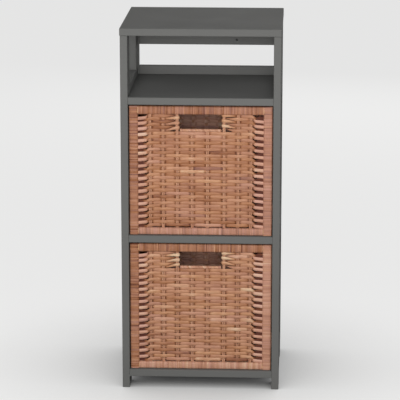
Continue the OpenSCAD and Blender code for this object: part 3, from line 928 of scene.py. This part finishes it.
def at_hole(rows, x, row, pitch):
    """Move up, height and painted light of the strands that end at the hand hole."""
    to_hole = rows.direction * (x - rows.curl_at) / LENS_LENGTH + 1
    over = passes_over(rows.stakes.index(rows.curl_at), row)
    below_top = rows.heights[-1] + pitch / 2 - rows.heights[row - rows.first_row]
    rise = smooth(to_hole) * (DRAWN_UP * below_top + np.where(over, OVER_LIFT, 0.0))
    pointed = 1 - POINT_THINNER * smooth(POINT_PACE * to_hole + 0.5)
    pointed = pointed + POINT_BROADER * np.clip(to_hole, 0, 1)
    height = np.where(over, pointed, 1 - UNDER_THINNER * smooth(to_hole * UNDER_PACE))
    # A painted highlight on the strand in front, painted shade on the one behind.
    painted_light = np.where(over, LENS_PAINTED_HIGHLIGHT, UNDER_PAINTED_SHADE) * smooth(to_hole * PAINTED_LIGHT_PACE)
    return rise, height, painted_light


print("strands draw together over the last", round(LENS_LENGTH / MM), "mm")

# %% [markdown]
# ## Shades of the strands
#
# A strand changes its shade where it goes behind a stake. A few stretches are much paler and a few
# much darker. `crease_shade` darkens a strand just where it dips out of the light, which the soft
# lamps alone would hardly show.

# %% Shade the strands
STRETCH_SPREAD = 0.065
PALE_STRETCHES = 0.03
PALE_LIFT = 0.2
DARK_DROP = 0.18
CREASE_SHADE = 0.24
CREASE_DEPTH = 0.6 * MM
CREASE_WIDTH = 1.3 * MM


def crease_shade(depth):
    """How much darker a strand is at a depth."""
    return CREASE_SHADE * np.exp(-((depth - CREASE_DEPTH) / CREASE_WIDTH) ** 2)


def stretch_looks(rows, looks, random):
    """Lightness and pinkness of every stretch of every row."""
    count = len(rows.heights)
    stretches = (count, len(rows.stakes) + 1)
    shade, pinkness, row_spread = looks
    tone = random.normal(shade, row_spread, (count, 1))
    tone = tone + random.normal(0, STRETCH_SPREAD, stretches)
    tone[random.random(stretches) < PALE_STRETCHES] += PALE_LIFT
    tone[random.random(stretches) < PALE_STRETCHES] -= DARK_DROP
    blush = np.clip(random.normal(pinkness, BLUSH_SPREAD, stretches), 0, 1)
    return tone, blush


def dips_passed(rows, row, x):
    """How many times a row has gone behind a stake before x."""
    return sum((~passes_over(number, row) & (x > stake)).astype(int)
               for number, stake in enumerate(rows.stakes))


print("share of stretches that are much paler:", PALE_STRETCHES)

# %% [markdown]
# ## Bending the rows
#
# `woven_rows` makes one straight strand and repeats it, one copy a row. Each point then goes to
# its row's route, turned with the strand's direction there, which two places just before and
# after it give. Rows also wobble, swell and lift by a fraction of a millimetre.

# %% Bend the rows
NUDGE = 0.2 * MM
WOBBLE = 0.22 * MM
WOBBLE_MILLIMETRES = (14, 30)
PLUMP_SPREAD = 0.035
LIFT_MILLIMETRES = 0.12
MOST_BLUSH = 0.85


def woven_rows(name, rows, pitch, looks, seed):
    """A group of rows of woven strands, bent over and behind their stakes."""
    random = np.random.default_rng(seed)
    places = rows.cuts()
    strand = straight_strand(name, len(places) - 2, rows.strand_height, STRAND_THICKNESS)
    ring = np.rint(read_points(strand)[:, 0] * (len(places) - 1)).astype(int)
    count = len(rows.heights)
    repeat(strand, count, (0, 0, pitch))
    points = read_points(strand)
    index = np.repeat(np.arange(count), len(ring))
    row = index + rows.first_row
    run = places[np.tile(ring, count)]
    side_y = points[:, 1].copy()
    side_z = points[:, 2] - index * pitch

    x, depth = route(rows, run, row)
    x_before, depth_before = route(rows, run - NUDGE, row)
    x_after, depth_after = route(rows, run + NUDGE, row)
    way_x, way_y = x_after - x_before, depth_after - depth_before
    way = np.hypot(way_x, way_y)
    way_x, way_y = way_x / way * rows.direction, way_y / way * rows.direction

    # The painted highlights and painted shade of edges, hole and creases, added to the strands'
    # tone.
    rise, back, painted_light, pink = np.zeros((4, len(x)))
    height = np.ones(x.shape)
    if rows.open_edges:
        rise, back, height, painted_light, pink = at_edges(rows, x, row, pitch)
    if rows.curl_at is not None:
        hole_rise, hole_height, hole_painted_light = at_hole(rows, x, row, pitch)
        rise = rise + hole_rise
        height = height * hole_height
        painted_light = painted_light + hole_painted_light
    painted_light = painted_light - crease_shade(depth)
    depth = depth + back
    wobble = WOBBLE * np.sin(x / (random.uniform(*WOBBLE_MILLIMETRES, count) * MM)[index]
                             + random.uniform(*ANY_PHASE, count)[index])
    plump = height * (1 + random.normal(0, PLUMP_SPREAD, count)[index])
    lift = random.normal(0, LIFT_MILLIMETRES, count)[index] * MM
    points[:, 0] = x - way_y * side_y
    points[:, 1] = depth + way_x * side_y + lift
    points[:, 2] = rows.heights[index] + rise + wobble + side_z * plump
    write_points(strand, points)

    shift = random.uniform(*FIBRE_SHIFT, count)[index]
    fibre = np.column_stack([run + shift, points[:, 1], side_z])
    tone, blush = stretch_looks(rows, looks, random)
    stretch = dips_passed(rows, row, x)
    tone = np.clip(tone[index, stretch] + painted_light, 0, 1)
    blush = np.clip(blush[index, stretch] + pink, 0, MOST_BLUSH)
    store_looks(strand, tone, blush, fibre)
    strand.data.materials.append(rattan)
    return strand


print("rows wobble by up to", round(WOBBLE / MM, 2), "mm")

# %% [markdown]
# ## Stakes
#
# A stake is a pair of round rods that stand side by side. One rod is a thin cylinder, cut across a
# few times so that it can bow a little, an array makes the pair, and each pair gets its own copy.

# %% Stakes
STAKE_CUTS = 6
STAKE_BOW = 0.25 * MM
STAKE_WAVES = (4, 9)
STAKE_SHADE, STAKE_SPREAD, STAKE_BLUSH = 0.62, 0.04, 0.2


def stake_pairs(name, stakes, tops, seed):
    """Pairs of upright rods at the given places across a wall, up to their tops."""
    random = np.random.default_rng(seed)
    pairs = []
    for stake, top in zip(stakes, tops):
        pair = straight_strand(name, STAKE_CUTS, 2 * ROD_RADIUS, 2 * ROD_RADIUS)
        repeat(pair, 2, (0, 0, 2 * ROD_RADIUS))
        points = read_points(pair)
        rod = (np.arange(len(points)) >= len(points) / 2).astype(int)
        run = points[:, 0]
        side = points[:, 2] - ROD_RADIUS
        bow = STAKE_BOW * np.sin(run * random.uniform(*STAKE_WAVES) + random.uniform(*ANY_PHASE))
        rise = run * (top + TUCK)
        write_points(pair, np.column_stack([stake + side + bow, points[:, 1], rise - TUCK]))
        shift = random.uniform(*FIBRE_SHIFT, 2)[rod]
        fibre = np.column_stack([rise + shift, points[:, 1], side])
        tone = np.clip(random.normal(STAKE_SHADE, STAKE_SPREAD, 2), 0, 1)[rod]
        store_looks(pair, tone, STAKE_BLUSH, fibre)
        pair.data.materials.append(rattan)
        pairs.append(pair)
    return join_pieces(name, pairs)


print("a stake's rod is", round(2 * ROD_RADIUS / MM, 1), "mm thick")

# %% [markdown]
# ## The front wall
#
# The hand hole takes the place of the top six rows between the third and the sixth stake. Thirty
# full rows fill the wall below it, and the lowest one lies a little above the bottom bar. The wall
# is built round the origin and then moved into the measured weave's place. The looks of a wall are
# how light and how pink its strands are, and how much one row differs from the next.

# %% Front weave
FRONT_STAKES = [place * MM for place in (-111, -82.5, -51.5, -19, 14.5, 51.0, 81.5, 109.5)]
HOLE_STAKES = (2, 5)
FIRST_LIFT = 2.4 * MM
# The lower front is painted lighter than the upper, for the light that is weaker lower down.
FRONT_LOOKS_AND_PAINTED_LIGHT = {"upper": (0.50, 0.08, 0.035), "lower": (0.58, 0.08, 0.035)}
STAKE_SEED = 9


def foot(low, high):
    """The middle of the underside of a box."""
    return (low.x + high.x) / 2, (low.y + high.y) / 2, low.z


def front_wall(name, node, border_node, looks, seed):
    """The front weave of a basket, with its hand hole."""
    low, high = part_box(node)
    wall_height = high.z - low.z
    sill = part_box(border_node)[0].z - low.z
    edge = (high.x - low.x) / 2 + TUCK
    pitch = (sill - FIRST_LIFT) / FULL_ROWS
    split_pitch = (wall_height - sill) / SPLIT_ROWS
    full_heights = FIRST_LIFT + (np.arange(FULL_ROWS) + 0.5) * pitch
    split_heights = sill + (np.arange(SPLIT_ROWS) + 0.5) * split_pitch
    full = Rows(full_heights, 0, -edge, 1, FRONT_STAKES)
    pieces = [woven_rows(name, full, pitch, looks, seed)]
    for direction, number in ((1, HOLE_STAKES[0]), (-1, HOLE_STAKES[1])):
        hole_stake = FRONT_STAKES[number]
        split = Rows(split_heights, FULL_ROWS, -direction * edge, direction, FRONT_STAKES,
                     curl_at=hole_stake)
        pieces.append(woven_rows(name, split, split_pitch, looks, seed + number))
    tops = [wall_height + TUCK] * len(FRONT_STAKES)
    for number in range(HOLE_STAKES[0] + 1, HOLE_STAKES[1]):
        tops[number] = sill + TUCK
    pieces.append(stake_pairs(name, FRONT_STAKES, tops, seed + STAKE_SEED))
    wall = join_pieces(name, pieces)
    settle(wall, (0, 0, 0), foot(low, high))
    return wall


print("rows beside the hole:", SPLIT_ROWS)

# %% [markdown]
# ## The hand hole's lower edge
#
# Under the hand hole lies a rod with a strip wound round it on the slant, like a twist of rope. It
# is the wrapped bar again, round and thin. A turn rises by SILL_LEAN from the rod's middle to its
# side, so it leans by half the rod's width in all.

# %% Wrapped sill of the hand hole
SILL_LOOKS = (0.68, 0.25)
SILL_PITCH = 3.3 * MM
SILL_LEAN = 1.7 * MM
NEARLY_ROUND = 0.49


def wrapped_sill(name, node, seed):
    """The slanting wrap round the rod below a hand hole."""
    low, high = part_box(node)
    across = high.z - low.z
    sill = wrapped_bar(name, high.x - low.x, across, high.y - low.y, SILL_LOOKS, seed,
                       corner=across * NEARLY_ROUND, pitch=SILL_PITCH, lean=SILL_LEAN)
    settle(sill, LIE_ALONG_X, (low.x, (low.y + high.y) / 2, (low.z + high.z) / 2))
    return sill


print("how light and how pink the sill is:", SILL_LOOKS)

# %% [markdown]
# ## The other walls and the base
#
# The back, the sides and the base are plain weave with evenly spaced stakes. Each is built like
# the front, facing -Y, and turned so that the same side of the weave faces out. The base is laid
# down with its outer side below. Their strands are beaten down tighter than the front's, so each
# row overlaps the next and hardly any light comes through. The back's strands are pinker, a little
# lighter and more varied from row to row than the sides'; this is painted light and shade for the
# dim inside of the basket, which shows through the hand hole.

# %% Plain weave
ROW_PITCH = 7.16 * MM
PLAIN_HEIGHT = 8.9 * MM
# Lighter and more varied than the sides': painted light and shade for the basket's dim inside.
BACK_LOOKS_AND_PAINTED_LIGHT = (0.52, 0.55, 0.2)
SIDE_LOOKS = (0.47, 0.12, 0.035)
STAKE_SPACING = 31 * MM


def plain_wall(name, across, upward, looks, seed):
    """A plain weave round the origin, so wide and so high, that faces -Y."""
    count = round(upward / ROW_PITCH)
    pitch = upward / count
    pairs = round(across / STAKE_SPACING)
    spacing = across / pairs
    stakes = (np.arange(pairs) + 0.5) * spacing - across / 2
    heights = (np.arange(count) + 0.5) * pitch
    edge = across / 2 + TUCK
    rows = Rows(heights, 0, -edge, 1, stakes, open_edges=False, strand_height=PLAIN_HEIGHT)
    pieces = [woven_rows(name, rows, pitch, looks, seed),
              stake_pairs(name, stakes, [upward + TUCK] * pairs, seed + STAKE_SEED)]
    return join_pieces(name, pieces)


def back_wall(name, node, seed):
    """A plain wall that faces the tower's back."""
    low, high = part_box(node)
    wall = plain_wall(name, high.x - low.x, high.z - low.z, BACK_LOOKS_AND_PAINTED_LIGHT, seed)
    settle(wall, (0, 0, math.radians(180)), foot(low, high))
    return wall


def side_wall(name, node, seed):
    """A plain wall that faces left or right, away from the basket's inside."""
    low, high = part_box(node)
    outwards = math.radians(90 if low.x > 0 else -90)
    wall = plain_wall(name, high.y - low.y, high.z - low.z, SIDE_LOOKS, seed)
    settle(wall, (0, 0, outwards), foot(low, high))
    return wall


def base_wall(name, node, seed):
    """A plain wall that lies flat and faces the floor."""
    low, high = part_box(node)
    wall = plain_wall(name, high.x - low.x, high.y - low.y, SIDE_LOOKS, seed)
    settle(wall, (math.radians(90), 0, 0), ((low.x + high.x) / 2, high.y, (low.z + high.z) / 2))
    return wall


print("plain weave has a stake about every", round(STAKE_SPACING / MM), "mm")

# %% [markdown]
# ## Both baskets
#
# Both baskets are made to one pattern, so one function makes all ten pieces of a basket, each
# round its measured solid. The tables say which function makes a piece, and how far its random
# numbers start from the basket's own, because no two pieces are alike in shade. Every piece then
# rides on its basket and stands for the solid that it covers.

# %% Make the baskets, and let every piece ride
BAR_PIECES = (("front", "front_frame", wall_bars, 10), ("back", "back_frame", wall_bars, 20),
              ("left", "left_rails", side_bars, 30), ("right", "right_rails", side_bars, 40))
FRONT_SEED, SILL_SEED = 50, 70
PLAIN_WEAVES = (("back_weave", back_wall, 80), ("left_weave", side_wall, 100),
                ("right_weave", side_wall, 120), ("base_weave", base_wall, 140))


def make_basket(place, body, seed):
    """All the wicker pieces of one basket, each with the measured part that it stands for."""
    pieces = []
    for wall, part, make_bars, offset in BAR_PIECES:
        bars = make_bars(f"{place}_{wall}_bars", f"{body}_{part}", f"{body}_{wall}_weave",
                         BAR_LOOKS_AND_PAINTED_LIGHT[place], seed + offset)
        pieces.append((bars, part))
    border = f"{body}_handle_border"
    front = front_wall(f"{place}_front_weave", f"{body}_front_weave", border,
                       FRONT_LOOKS_AND_PAINTED_LIGHT[place], seed + FRONT_SEED)
    pieces.append((front, "front_weave"))
    sill = wrapped_sill(f"{place}_handle_wrap", border, seed + SILL_SEED)
    pieces.append((sill, "handle_border"))
    for part, make_weave, offset in PLAIN_WEAVES:
        weave = make_weave(f"{place}_{part}", f"{body}_{part}", seed + offset)
        pieces.append((weave, part))
    return pieces


for place, body, seed in (("upper", "upper_basket", 1), ("lower", "lower_basket", 1001)):
    for piece, part in make_basket(place, body, seed):
        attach(piece, body)
        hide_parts(f"{body}_{part}")
    print(place, "basket: faces in its base:", len(piece.data.polygons))
